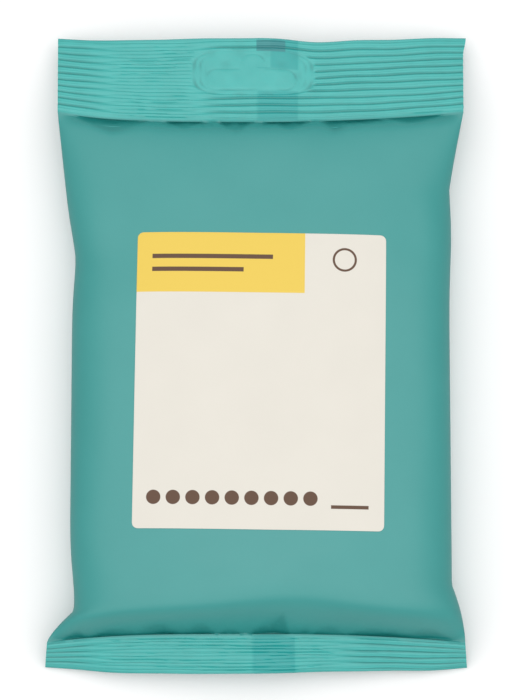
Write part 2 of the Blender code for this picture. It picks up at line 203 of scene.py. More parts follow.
# The stage
FLOOR_HALF = 1.5
SIDE_LAMP = (0.80, 0.05, 0.60)
SIDE_LAMP_SIZE = (0.5, 0.9)
OVER_LAMP = (0.0, 0.06, 1.35)
OVER_LAMP_SIZE = (0.5, 0.4)
CAMERA_AIM = (0.0005, -0.00072, 0.013)
SENSOR_MM = 24.0
LENS_MM = 95.1

# Puckers of the front film: place across in millimetres, half width, height (a valley below 0) and how
# far from the seal line they run
TOP_PUCKERS = [(-47, 3.0, -0.5, 7), (-28.6, 2.0, -0.7, 4), (-18, 1.5, -0.7, 3.5), (-10.7, 2.0, -1.1, 4),
               (-6, 1.6, -0.9, 4.5), (2, 2.2, -0.9, 3), (8, 2.2, -0.9, 3), (12.5, 1.5, -0.7, 3),
               (23, 2.6, -0.8, 7), (29.5, 2.2, -1.0, 4.5), (38, 1.5, -0.8, 3), (47, 3.0, -0.4, 4),
               (-36, 4.0, 0.40, 6), (-23, 2.0, 0.45, 4), (-14.5, 1.5, 0.5, 4), (-2, 2.0, 0.6, 4),
               (5, 1.4, 0.5, 3), (17, 2.5, 0.5, 5), (26, 1.4, 0.4, 4), (34, 1.8, 0.5, 4),
               (43, 2.5, 0.3, 4), (53, 3.0, 0.3, 5)]
BOTTOM_PUCKERS = [(-56.5, 2.5, -0.6, 3), (-46, 3.0, -0.6, 3.5), (-29, 2.2, -1.0, 3.8),
                  (-25.5, 1.6, -0.7, 3), (-17, 2.2, -0.7, 2.8), (4.8, 4.4, -1.0, 7), (15, 2.0, -0.7, 2.5),
                  (42, 3.5, -0.9, 3), (55, 3.5, -0.8, 2.5), (-51, 2.5, 0.5, 4), (-37, 3.5, 0.35, 4),
                  (-21, 1.6, 0.5, 3), (-8, 3.5, 0.3, 4), (9.8, 1.5, 0.5, 4), (25, 4.0, 0.3, 4),
                  (48.5, 2.0, 0.4, 3)]
# Pockets at a seal, dented and darkened with painted shade: place across, half width, and how far out
# they reach, all in mm
TOP_POCKETS = [(-47, 10.0, 6.0), (-24, 4.5, 4.2), (-7.6, 5.0, 5.0), (9.3, 6.0, 4.2), (24.2, 4.5, 5.4),
               (33.7, 3.5, 3.0), (48.3, 8.0, 3.2)]
BOTTOM_POCKETS = [(-56.3, 3.2, 3.0), (-43.5, 8.0, 2.6), (-31.2, 5.5, 4.0), (-17.7, 4.5, 3.8),
                  (-8.2, 4.0, 1.8), (1.8, 3.0, 3.0), (6.6, 3.0, 6.5), (22.3, 4.5, 3.2), (35.8, 8.0, 2.4),
                  (53, 8.0, 3.6)]
# Soft dents and swellings of the filled film: place across and along, half sizes and height, in mm
FRONT_SWELLS = [(-44, 30, 9, 20, -0.7), (-47, -8, 8, 22, 0.4), (46, 36, 7, 12, -0.6),
                (45, -10, 8, 30, -0.5), (-20, 52, 14, 9, 0.5), (22, 56, 13, 8, 0.4), (0, 48, 9, 9, -0.4),
                (-46, -55, 9, 12, -0.4), (48, -52, 8, 10, 0.4), (-18, -66, 12, 6, 0.5),
                (20, -64, 13, 6, 0.5), (2, -60, 7, 7, -0.3)]


class BagSizes(bpy.types.PropertyGroup):
    """Sizes and colours of the film bag."""
    slab: FloatProperty(name="Seal thickness", description="Both films of an end seal together",
                        default=0.00045, min=0.0002, max=0.0011, unit="LENGTH")
    rib: FloatProperty(name="Rib height", description="From a seal's middle surface to the top of a rib",
                       default=0.00032, min=0.0, max=0.0005, unit="LENGTH")
    fill: FloatProperty(name="Fill", description="How tight the bag is filled, from 0 to 1", default=0.8,
                        min=0.0, max=1.0, subtype="FACTOR")
    film: FloatVectorProperty(name="Film colour", description="Colour of the teal film", size=3,
                              default=(0.022, 0.285, 0.268), subtype="COLOR")
    seal: FloatVectorProperty(name="Seal colour", description="Colour of the crimped film", size=3,
                              default=(0.041, 0.418, 0.388), subtype="COLOR")
    fin: FloatVectorProperty(name="Fin colour", description="Colour of a seal where the fin lies in it",
                             size=3, default=(0.008, 0.345, 0.328), subtype="COLOR")
    # Painted shade: the fold colour darkens rib valleys, puckers, creases, pockets and the cut edge
    fold: FloatVectorProperty(name="Fold colour", description="Colour of the film deep in folds and ribs",
                              size=3, default=(0.004, 0.195, 0.182), subtype="COLOR")
    dark: FloatVectorProperty(name="Register mark colour", description="Colour of the printed mark", size=3,
                              default=(0.010, 0.185, 0.205), subtype="COLOR")
    roughness: FloatProperty(name="Film roughness", description="0 is a mirror and 1 is chalk",
                             default=0.38, min=0.05, max=1.0, subtype="FACTOR")


class LabelSizes(bpy.types.PropertyGroup):
    """Sizes and colours of the paper label."""
    thickness: FloatProperty(name="Label thickness", description="Thickness of the paper", default=0.00018,
                             min=0.0001, max=0.0006, unit="LENGTH")
    paper: FloatVectorProperty(name="Paper colour", description="Colour of the bare paper", size=3,
                               default=(0.755, 0.722, 0.648), subtype="COLOR")
    panel: FloatVectorProperty(name="Panel colour", description="Colour of the corner panel", size=3,
                               default=(0.80, 0.575, 0.105), subtype="COLOR")
    ink: FloatVectorProperty(name="Ink colour", description="Colour of the plain printed bars", size=3,
                             default=(0.13, 0.075, 0.05), subtype="COLOR")


class FruitSizes(bpy.types.PropertyGroup):
    """Colours and wrinkling of the dried fruit."""
    flesh: FloatVectorProperty(name="Flesh colour", description="Colour of the dried flesh", size=3,
                               default=(0.60, 0.20, 0.03), subtype="COLOR")
    wrinkle: FloatProperty(name="Wrinkle depth", description="Depth of the drying wrinkles",
                           default=0.0005, min=0.0, max=0.001, unit="LENGTH")
    seed: IntProperty(name="Seed", description="Start of the wrinkles' random numbers", default=7, min=0)


class StageSizes(bpy.types.PropertyGroup):
    """The camera, floor and light."""
    distance: FloatProperty(name="Camera distance", description="From the camera to the bag's middle",
                            default=0.870, min=0.3, max=3.0, unit="LENGTH")
    tilt: FloatProperty(name="Camera tilt", description="How far the camera stands below the bag's middle",
                        default=math.radians(8), min=0.0, max=math.radians(60), unit="ROTATION")
    horizon: FloatProperty(name="Surround at the horizon", description="Brightness of the surround there",
                           default=0.44, min=0.0, max=3.0)
    zenith: FloatProperty(name="Surround overhead", description="Brightness of the surround there",
                          default=1.44, min=0.0, max=3.0)
    front: FloatProperty(name="Surround in front", description="Brightness added towards the camera's side",
                         default=0.12, min=0.0, max=3.0)
    side_power: FloatProperty(name="Side light", description="Power of each lamp at the sides", default=0.5,
                              min=0.0, max=50.0, unit="POWER")
    over_power: FloatProperty(name="Overhead light", description="Power of the lamp overhead", default=0.6,
                              min=0.0, max=50.0, unit="POWER")
    floor: FloatVectorProperty(name="Floor colour", description="Colour of the plain floor", size=3,
                               default=(0.95, 0.95, 0.95), subtype="COLOR")


def smooth(s):
    """Rise from 0 to 1 with level ends: three s squared less two s cubed, with s held from 0 to 1."""
    s = np.clip(s, 0.0, 1.0)
    return s * s * (3.0 - 2.0 * s)


def bell(x, width):
    """The bell curve exp(-(x / width) squared)."""
    return np.exp(-(x / width) ** 2)


def waves(u, v, table):
    """A sum of sines: each of a size, its own rates over u and over v, and a start."""
    return sum(size * np.sin(across * u + along * v + start) for size, across, along, start in table)


def shoulder(distance, reach, power):
    """A quarter of a superellipse: 1 less (1 - distance / reach) to a power, the whole to 1 / power."""
    s = np.clip(distance / reach, 0.0, 1.0)
    return (1.0 - (1.0 - s) ** power) ** (1.0 / power)


def knee(distance, reach):
    """The line s = distance / reach, over the k-th root of 1 + s to the k, so it levels off at 1."""
    s = distance / reach
    return s / (1.0 + s ** KNEE_SHARPNESS) ** (1.0 / KNEE_SHARPNESS)


def to_corner(seal, c):
    """The size of c to a power, one for each side, so 0 in the middle of a seal and 1 at its corners."""
    return np.abs(c) ** np.where(c < 0, *seal["powers"])


def seal_line_height(seal, c):
    """The height of the seal's line: a fixed height less a fall that grows to the corners."""
    return seal["line"] - seal["fall"] * to_corner(seal, c)


def seal_point(seal, c, run):
    """A seal's middle surface run metres in from its edge: a plane strip turned by the tilt at c."""
    tilt = seal["tilt"] + (seal["corner_tilt"] - seal["tilt"]) * to_corner(seal, c)
    pivot = seal["pivot"] * seal["height"]
    inward = run / seal["height"]
    x = seal["centre"] + (seal["edge_half"] * (1.0 - inward) + seal["line_half"] * inward) * c
    bow = seal["bow"] * to_corner(seal, c)
    y = seal["end"] * (HALF_LENGTH + bow - pivot + (pivot - run) * np.cos(tilt))
    z = seal_line_height(seal, c) - (seal["height"] - run) * np.sin(tilt)
    normal = np.stack(np.broadcast_arrays(0.0 * x, seal["end"] * np.sin(tilt), np.cos(tilt)), axis=-1)
    return x, y, z, normal


def ear(distance, reach, power):
    """1 less distance / reach to a power, held from 0 to 1."""
    return 1.0 - np.clip(distance / reach, 0.0, 1.0) ** power


def sides(t):
    """The body's limits in X: half its width, plus the ears' extra width near each seal."""
    low, high = t * BODY_LENGTH, (1.0 - t) * BODY_LENGTH
    limits = []
    for sign, body, low_ear, high_ear in ((-1, BODY_LEFT, BOTTOM_LEFT_EAR, TOP_LEFT_EAR),
                                          (1, BODY_RIGHT, BOTTOM_RIGHT_EAR, TOP_RIGHT_EAR)):
        x = body
        for seal, share in ((BOTTOM_SEAL, ear(low, *low_ear)), (TOP_SEAL, ear(high, *high_ear))):
            x = x + (seal["line_half"] + sign * seal["centre"] - body) * share
        for side, place, depth, half in WAISTS:
            x = x - (side == sign) * depth * np.exp(-((low - place) / half) ** 2) * smooth(low / half)
        limits.append(sign * x)
    return limits


def body_base(c, t):
    """The surface through both side edges: the seal lines' heights, faded to the body's edge height."""
    low = 1.0 - smooth(t * BODY_LENGTH / SIDE_BLEND)
    high = 1.0 - smooth((1.0 - t) * BODY_LENGTH / SIDE_BLEND)
    rest = EDGE_HEIGHT * (1.0 - low - high)
    return low * seal_line_height(BOTTOM_SEAL, c) + high * seal_line_height(TOP_SEAL, c) + rest


def front_fullness(c, t):
    """The product of the bottom's knee and the top's mix of a low knee and a long shoulder."""
    arch = BOTTOM_KNEE_ARCH * np.exp(-((c - ARCH_CENTRE) / ARCH_HALF) ** 2)
    bottom = knee(t * BODY_LENGTH, BOTTOM_KNEE + arch)
    distance = (1.0 - t) * BODY_LENGTH
    long_part = shoulder(distance, TOP_SHOULDER, TOP_SHOULDER_POWER)
    return bottom * (TOP_KNEE_SHARE * knee(distance, TOP_KNEE) + (1.0 - TOP_KNEE_SHARE) * long_part)


def back_fullness(t):
    """The product of a shoulder at each end."""
    low = shoulder(t * BODY_LENGTH, BACK_BOTTOM_SHOULDER, BACK_SHOULDER_POWER)
    return low * shoulder((1.0 - t) * BODY_LENGTH, BACK_TOP_SHOULDER, BACK_SHOULDER_POWER)


def body_y(c, t):
    """The place along the bag: a straight mix of the two seal lines."""
    bottom = seal_point(BOTTOM_SEAL, c, BOTTOM_SEAL["height"])[1]
    top = seal_point(TOP_SEAL, c, TOP_SEAL["height"])[1]
    return bottom * (1.0 - t) + top * t


def front_rise(c, t):
    """The front film over the base: a superellipse across, whose power grows with the fullness."""
    full = front_fullness(c, t)
    section = (1.0 - np.abs(c) ** (2.0 + FRONT_POWER * full)) ** (1.0 / (1.0 + FRONT_POWER * full))
    return (CROWN_HEIGHT - body_base(0.0 * c, t)) * full * section


def back_drop(c, t):
    """The back film under the base: a superellipse across, cut off level at the surface it lies on."""
    full = back_fullness(t)
    section = BACK_CUT * (1.0 - np.abs(c) ** (2.0 + BACK_POWER * full)) ** (1.0 / (1.0 + full))
    return (body_base(c, t) - SOLID_SLAB / 2) * full * np.clip(section, 0.0, 1.0)


def body_place(c, t):
    """The across place in the body: c stretched in the middle, and eased back at the sides by c to the 5."""
    left, right = sides(t)
    stretch = 2.0 * FLAT_HALF / (right - left)
    return stretch * c + (1.0 - stretch) * c ** 5


def rib_wave(share):
    """Broad crests and narrow valleys, -1 to 1: a raised cosine cut off by tanh, less a groove on top."""
    wave = np.cos(2.0 * math.pi * share)
    broad = np.tanh(RIB_STEEPNESS * (wave + RIB_FULLNESS)) / math.tanh(RIB_STEEPNESS * (1.0 + RIB_FULLNESS))
    return broad - RIB_GROOVE * np.maximum(wave, 0.0) ** 8


def slot_distance(x, run):
    """Metres outside the slot's outline (below 0 inside): the nearer of a bar and a round hump."""
    bar = np.hypot(np.maximum(np.abs(x - SLOT_CENTRE[0]) - (SLOT_HALF_LENGTH - SLOT_HALF_HEIGHT), 0.0),
                   run - SLOT_CENTRE[1]) - SLOT_HALF_HEIGHT
    stem = np.maximum(run - HUMP_CENTRE[1], 0.0) * 0.25
    hump = np.hypot(x - HUMP_CENTRE[0], np.minimum(run - HUMP_CENTRE[1], 0.0) + stem) - HUMP_RADIUS
    return np.minimum(bar, np.where(run < SLOT_CENTRE[1], hump, bar))


def pad_radius(x, run):
    """1 on the pad's outline, less inside it: the fourth root of the sum of both places to the fourth."""
    across = (x - PAD_CENTRE) / PAD_HALF_LENGTH
    along = (run - PAD_FROM_EDGE) / PAD_HALF_HEIGHT
    return (across ** 4 + along ** 4) ** 0.25


def pad_relief(x, run, rib):
    """The pad: a groove on its border, arcs in step with its ends, and a cut line and swell at the slot.

    The groove and the cut line are bells of the distance to them, the arcs a cosine of it, and the swell
    a smooth step and a product of two sines.
    """
    radius = pad_radius(x, run)
    off = slot_distance(x, run)
    border = -0.15 * rib * bell((radius - 1.0) * PAD_HALF_HEIGHT, PAD_BORDER_WIDTH)
    at_end = smooth((np.abs(x - PAD_CENTRE) - PAD_ARCS_FROM) / 0.0025) * np.where(x < PAD_CENTRE, 1.0, 0.7)
    arcs = 0.28 * rib * np.cos(2.0 * math.pi * (1.0 - radius) * PAD_HALF_LENGTH / PAD_ARC_PITCH) * at_end
    arcs = arcs * smooth((off - 0.0002) / 0.0006)
    uneven = 0.55 + 0.45 * np.sin(x * 310.0 + 1.0) * np.sin(run * 260.0 + 0.4)
    groove = -0.4 * rib * bell(off, SLOT_CUT_WIDTH) * uneven
    swell = 0.25 * rib * smooth(-off / 0.0012) + 0.00007 * np.sin(x * 700.0) * np.sin(run * 900.0)
    return border + arcs + groove + swell


def seal_relief(seal, c, run, rib):
    """A seal's relief: the rib wave with the margins flat, and the pad in the top seal.

    The wave mixes broad ribs with fine ones at twice their phase, by a share that rises and falls
    smoothly across. Sines let the ribs wander and vary in height.
    """
    ribbed = seal["height"] - 2 * SEAL_MARGIN
    place = (run - SEAL_MARGIN) / ribbed
    inside = smooth(place * 40.0) * smooth((1.0 - place) * 40.0)
    phase = place * seal["ribs"] + 0.5 + waves(c, place, RIB_WANDER)
    fine = smooth((c - SPLIT_FROM) / SPLIT_FADE) * smooth((seal["split"] - c) / SPLIT_FADE) * FINE_SHARE
    wave = (1.0 - fine) * rib_wave(phase) + fine * rib_wave(2.0 * phase)
    wave = rib * wave * (0.88 + waves(c, place, RIB_UNEVEN)) * inside
    if seal["end"] < 0:
        return wave + 0.0 * c
    x = FLAT_HALF * c
    on_pad = smooth((1.03 - pad_radius(x, run)) / 0.05)
    return wave * (1.0 - on_pad) + pad_relief(x, run, rib) * on_pad


def edge_wave(seal, c):
    """How far the outer edge waves along Y: three shallow bells at the top, a long sine at the bottom."""
    if seal["end"] > 0:
        return TOP_EDGE_OUT - sum(depth * bell(c - place, half) for depth, place, half in TOP_EDGE_DIPS)
    return waves(c, 0.0, BOTTOM_EDGE_WAVE)


def seal_surfaces(seal, c, run, slab, rib):
    """Front and back of a seal: its middle surface, moved along its normal by relief and thickness.

    The relief has two sines added that fade to the seal's line, and the top seal's right corner flares
    out in X by a smooth step across, which fades along.
    """
    x, y, z, normal = seal_point(seal, c, run)
    outer = 1.0 - smooth(run / seal["height"])
    y = y + edge_wave(seal, c) * outer
    flare = max(seal["end"], 0) * FLARE * smooth((c - FLARE_FROM) / FLARE_WIDTH)
    x = x + flare * (1.0 - smooth(run / FLARE_RUN))
    relief = seal_relief(seal, c, run, rib) + waves(c, run, SEAL_SWAY) * outer
    middle = np.stack(np.broadcast_arrays(x, y, z), axis=-1) + normal * relief[..., None]
    fin = fin_band(c)
    return middle + normal * (slab / 2 + FIN_EXTRA * fin)[..., None], middle - normal * (slab / 2)


def fin_band(c):
    """1 over the fin's band and 0 beside it, with steep smooth edges."""
    return smooth(0.5 - (np.abs(FLAT_HALF * c - FIN_CENTRE) - FIN_WIDTH / 2) / FIN_EDGE)


def puckers(across, distance, folds):
    """Folds at a seal: bells across that narrow as they run out, with a steep start and a straight end."""
    total = 0.0 * across * distance
    for place, width, height, reach in folds:
        share = np.clip(distance / (reach * MM), 0.0, 1.0)
        along = smooth(distance / PUCKER_START) * (1.0 - share)
        total = total + height * MM * bell(across - place * MM, width * MM * (1.1 - 0.75 * share)) * along
    return total


def pockets(across, distance, places):
    """Dents at a seal, 0 to 1: each reaches as far out as a bell across lets it, with a soft rim."""
    total = 0.0 * across * distance
    for place, width, reach in places:
        rim = reach * MM * bell(across - place * MM, width * MM)
        total = np.maximum(total, smooth((rim - distance) / (0.0003 + 0.3 * reach * MM)))
    return total * smooth(distance / POCKET_START)


def crease(c, distance, lean, table):
    """The fold beside a seal, 0 to 1: a steep start and half a bell, deeper at both sides, and uneven."""
    start = smooth(distance / CREASE_START) * bell(np.maximum(distance - CREASE_CREST, 0.0), CREASE_REACH)
    return start * (0.75 + lean * np.abs(c) + waves(c, 0.0, table))


def front_folds(c, t):
    """The puckers' relief, and the creases and pockets of the bottom and the top seal, 0 to 1."""
    low, high = t * BODY_LENGTH, (1.0 - t) * BODY_LENGTH
    across = FLAT_HALF * c
    return (puckers(across, high, TOP_PUCKERS) + puckers(across, low, BOTTOM_PUCKERS),
            crease(c, low, *LOW_CREASE), crease(c, high, *HIGH_CREASE),
            pockets(across, low, BOTTOM_POCKETS), pockets(across, high, TOP_POCKETS))


def front_relief(c, x, y, t):
    """The filled front's relief: puckers, creases and pockets at both seals, and soft swells."""
    folds, low_crease, high_crease, low_pocket, high_pocket = front_folds(c, t)
    relief = folds - low_crease * LOW_CREASE_DEPTH - high_crease * HIGH_CREASE_DEPTH
    relief = relief - low_pocket * LOW_POCKET_DEPTH - high_pocket * HIGH_POCKET_DEPTH
    for place, along, wide, long, height in FRONT_SWELLS:
        relief = relief + height * MM * bell(x - place * MM, wide * MM) * bell(y - along * MM, long * MM)
    return relief * (1.0 - np.abs(c) ** SIDE_FADE)


def back_relief(c, t):
    """The back's relief: a step beside the fin, fine ridges along it and creases towards the seals."""
    off = np.abs(FLAT_HALF * c - FIN_CENTRE) - FIN_WIDTH / 2
    fade = back_fullness(t)
    beside = np.clip(1.0 - off / FIN_FADE, 0.0, 1.0) * fade + (1.0 - fade)
    step = FIN_STEP * beside * smooth(0.5 + off / 0.0005)
    ridges = FIN_RIDGE * (1.0 + np.cos(2.0 * math.pi * off / FIN_RIDGE_PITCH)) * smooth(-off / 0.0008)
    low, high = t * BODY_LENGTH, (1.0 - t) * BODY_LENGTH
    folds = puckers(FLAT_HALF * c, low, BOTTOM_PUCKERS[::-1]) + puckers(-FLAT_HALF * c, high, TOP_PUCKERS)
    return step + ridges - 0.8 * folds * (1.0 - np.abs(c) ** SIDE_FADE) * (1.0 - smooth(fade * 1.02))


def body_surfaces(c, t, slab):
    """Front and back of the body: the base, with the rise or drop, half the film and the relief.

    The film grows smoothly from a seal's thickness to the solid's, so that it covers the solid.
    """
    e = body_place(c, t)
    left, right = sides(t)
    x = (left + right) / 2 + (right - left) / 2 * e
    y = body_y(e, t)
    base = body_base(e, t)
    near = np.minimum(t, 1.0 - t) * BODY_LENGTH
    half = slab / 2 + (SOLID_SLAB - slab) / 2 * smooth(near / THICKNESS_BLEND) * (1.0 - np.abs(e) ** 12)
    front = base + half + front_rise(e, t) + front_relief(c, x, y, t)
    back = np.maximum(base - half - back_drop(e, t) + back_relief(c, t), 0.0)
    x, y = np.broadcast_to(x, front.shape), np.broadcast_to(y, front.shape)
    return np.stack([x, y, front], axis=-1), np.stack([x, y, back], axis=-1)


def across_places():
    """The values of c: even over the pad and fin, and closer together towards both sides by a cosine."""
    middle = np.arange(*FINE_ACROSS_MM) / (FLAT_HALF / MM)
    left = -1.0 + (1.0 + middle[0]) * (1.0 - np.cos(np.linspace(0.0, 0.5 * math.pi, LEFT_COLUMNS)))
    right = 1.0 - (1.0 - middle[-1]) * (1.0 - np.cos(np.linspace(0.0, 0.5 * math.pi, RIGHT_COLUMNS)))
    return np.concatenate([left[:-1], middle, right[:-1][::-1]])


def seal_runs(seal):
    """Places from the outer edge to the seal line: margins, and even rows over the ribs."""
    steps = seal["ribs"] * RIB_ROWS
    ribbed = SEAL_MARGIN + (seal["height"] - 2 * SEAL_MARGIN) * np.linspace(0.0, 1.0, steps + 1)
    return np.concatenate([[0.0], ribbed])


def body_places():
    """The values of t between the seal lines: mostly a cosine, and a few closer still at both ends."""
    even = np.linspace(0.0, 1.0, BODY_ROWS + 2)[1:-1]
    middle = 0.25 * even + 0.75 * (1.0 - np.cos(math.pi * even)) / 2
    close = np.arange(1, CLOSE_ROWS + 1) * CLOSE_STEP / BODY_LENGTH
    middle = middle[(middle > close[-1] + 0.0006) & (middle < 1.0 - close[-1] - 0.0006)]
    return np.concatenate([close, middle, 1.0 - close[::-1]])


def ring_faces(rows, columns, first):
    """Quads of a closed grid: point k of a ring joins point k + 1 of it and of the next ring."""
    r, k = np.meshgrid(np.arange(rows - 1), np.arange(columns), indexing="ij")
    n = (k + 1) % columns
    quads = np.stack([r * columns + k, r * columns + n, (r + 1) * columns + n, (r + 1) * columns + k], -1)
    return quads.reshape(-1, 4) + first


def end_faces(start, columns):
    """Quads that close an end: point k and k + 1 of the front join the two back points under them."""
    k = np.arange(columns // 2 - 1)
    return np.stack([start + k, start + columns - 1 - k, start + columns - 2 - k, start + k + 1], axis=-1)


def closed_faces(rings, first):
    """Quads over a grid of rings and over its two ends."""
    rows, columns = rings.shape[:2]
    return np.concatenate([ring_faces(rows, columns, first), end_faces(first, columns)[:, ::-1],
                           end_faces(first + (rows - 1) * columns, columns)])


def build_mesh(name, points, quads, smooth_angle=None, triangles=NO_TRIANGLES):
    """Put points, quads and triangles into a new mesh object, all smooth but for edges past the angle."""
    corners = np.concatenate([quads.ravel(), triangles.ravel()]).astype(np.int32)
    starts = np.concatenate([np.arange(len(quads)) * 4, quads.size + np.arange(len(triangles)) * 3])
    data = bpy.data.meshes.new(name)
    data.vertices.add(len(points))
    data.vertices.foreach_set("co", points.astype(np.float32).ravel())
    data.loops.add(len(corners))
    data.loops.foreach_set("vertex_index", corners)
    data.polygons.add(len(starts))
    data.polygons.foreach_set("loop_start", starts.astype(np.int32))
    data.polygons.foreach_set("use_smooth", np.ones(len(starts), dtype=bool))
    data.update(calc_edges=True)
    data.validate()
    if smooth_angle:
        data.set_sharp_from_angle(angle=smooth_angle)
    thing = bpy.data.objects.new(name, data)
    bpy.context.scene.collection.objects.link(thing)
    return thing


def add_places(thing, name, values):
    """Store three numbers on every point."""
    layer = thing.data.attributes.new(name, "FLOAT_VECTOR", "POINT")
    layer.data.foreach_set("vector", values.astype(np.float32).ravel())


def seal_marks(seal, c, run, rib):
    """A seal's masks: 1 where crimped, the fin's dark band, and how far down a rib's valley a place is.

    The valley depth lays painted shade, and the cut edge counts as a valley.
    The fin's band doesn't show in the pad, and is narrower past it.
    """
    fin = fin_band(c)
    valley = smooth(0.05 - 1.3 * seal_relief(seal, c, run, rib) / rib)
    valley = np.maximum(valley, 0.8 * smooth((CUT_EDGE - run) / 0.0002))
    if seal["end"] > 0:
        narrow = smooth(0.5 + (FLAT_HALF * c - FIN_LEFT_PAST_PAD) / 0.0005) * fin
        hidden = smooth((run - FIN_HIDDEN[0]) / 0.0008) * smooth((FIN_HIDDEN[1] - run) / 0.0008)
        fin = np.where(run < FIN_HIDDEN[0], narrow, fin) * (1.0 - hidden)
    return np.stack(np.broadcast_arrays(1.0, fin, valley), axis=-1)


def body_marks(c, t):
    """The body's masks: not crimped, no fin band, and how deep in a pucker, crease or pocket it is.

    That depth lays painted shade in the fold colour.
    """
    folds, low_crease, high_crease, low_pocket, high_pocket = front_folds(c, t)
    deep = 0.5 * smooth(-folds / 0.0006) + 0.7 * low_crease + 0.5 * high_crease
    deep = deep + 0.7 * np.maximum(low_pocket, high_pocket)
    return np.stack(np.broadcast_arrays(0.0, 0.0, np.minimum(deep, 1.0)), axis=-1)


def film_skin(slab, rib):
    """The outer skin as closed rings, with the flat place in mm and the three masks of every point."""
    c = across_places()[None, :]
    low_run = seal_runs(BOTTOM_SEAL)[:, None]
    high_run = seal_runs(TOP_SEAL)[::-1][:, None]
    t = body_places()[:, None]
    parts = (
        (*seal_surfaces(BOTTOM_SEAL, c, low_run, slab, rib), low_run - HALF_LENGTH,
         seal_marks(BOTTOM_SEAL, c, low_run, rib)),
        (*body_surfaces(c, t, slab), t * BODY_LENGTH - HALF_LENGTH + BOTTOM_SEAL["height"],
         body_marks(c, t)),
        (*seal_surfaces(TOP_SEAL, c, high_run, slab, rib), HALF_LENGTH - high_run,
         seal_marks(TOP_SEAL, c, high_run, rib)))
    front, back, marks = (np.concatenate([part[k] for part in parts]) for k in (0, 1, 3))
    along = np.concatenate([np.broadcast_to(part[2], part[0].shape[:2]) for part in parts])
    across = np.broadcast_to(c * FLAT_HALF, along.shape)
    place = np.stack([across / MM, along / MM, np.ones_like(along)], axis=-1)
    flat = place[:, ::-1] * (1.0, 1.0, 0.0)
    rings, places = np.concatenate([front, back[:, ::-1]], axis=1), np.concatenate([place, flat], axis=1)
    return rings, places, np.concatenate([marks, marks[:, ::-1]], axis=1)


def hollow_skin():
    """The inner skin: the body's rings, moved in by the film's thickness, from seal to seal."""
    c = np.sin(np.linspace(-0.5, 0.5, HOLLOW_COLUMNS) * math.pi)[None, :]
    t = np.linspace(*HOLLOW_SPAN, HOLLOW_ROWS)[:, None]
    left, right = sides(t)
    depth = (front_rise(0.0 * c, t) + back_drop(0.0 * c, t)) / 2
    half = (right - left) / 2
    x = (left + right) / 2 + (half - HOLLOW_SIDE * np.maximum(1.0, half / (2.0 * depth))) * c
    y = body_y(c, t)
    base = body_base(c, t)
    up = front_rise(c, t) * (1.0 - HOLLOW_INSET / front_rise(0.0 * c, t))
    down = back_drop(c, t) * (1.0 - (HOLLOW_INSET + FIN_STEP) / back_drop(0.0 * c, t))
    front = np.stack(np.broadcast_arrays(x, y, base + up + CAVITY_EDGE / 2), axis=-1)
    back = np.stack(np.broadcast_arrays(x, y, base - down - CAVITY_EDGE / 2), axis=-1)
    return np.concatenate([front, back[:, ::-1]], axis=1)


def new_material(name):
    """A material with a Principled shader, and its node tree and shader."""
    material = bpy.data.materials.new(name)
    material.use_nodes = True
    tree = material.node_tree
    return material, tree, tree.nodes["Principled BSDF"]


def node(tree, kind, values=None, **settings):
    """Add a node: values go to its inputs by number or name, settings to its own fields."""
    made = tree.nodes.new(kind)
    for key, value in settings.items():
        setattr(made, key, value)
    for key, value in (values or {}).items():
        if isinstance(value, bpy.types.NodeSocket):
            tree.links.new(value, made.inputs[key])
        else:
            made.inputs[key].default_value = value
    return made


def mathed(tree, operation, a, b=0.0):
    """One Math node's result."""
    return node(tree, "ShaderNodeMath", {0: a, 1: b}, operation=operation).outputs[0]


def mixed(tree, factor, a, b):
    """Colour a, and b where the factor is 1."""
    made = node(tree, "ShaderNodeMix", {"Factor": factor, 6: a, 7: b}, data_type="RGBA")
    return made.outputs[2]


def tint(colour, share=1.0, add=0.0):
    """A colour times a share, plus a little of everything, with its alpha."""
    return (*[min(1.0, v * share + add) for v in colour], 1.0)


def noise(tree, place, scale, detail, roughness=0.5):
    """A noise texture's value, with its scale in waves per unit of the place."""
    values = {"Vector": place, "Scale": scale, "Detail": detail, "Roughness": roughness}
    return node(tree, "ShaderNodeTexNoise", values).outputs["Fac"]


def roughen(tree, shader, height, strength, distance):
    """A bump from a height, for the grain that is too fine for the mesh."""
    bump = node(tree, "ShaderNodeBump", {"Strength": strength, "Distance": distance, "Height": height})
    tree.links.new(bump.outputs["Normal"], shader.inputs["Normal"])


def within(tree, value, centre, half, soft):
    """1 where value is closer than half to the centre, with an edge soft wide."""
    off = mathed(tree, "ABSOLUTE", mathed(tree, "SUBTRACT", value, centre))
    made = node(tree, "ShaderNodeMapRange", {"Value": off, "From Min": half + soft, "From Max": half - soft},
                interpolation_type="SMOOTHSTEP")
    return made.outputs["Result"]


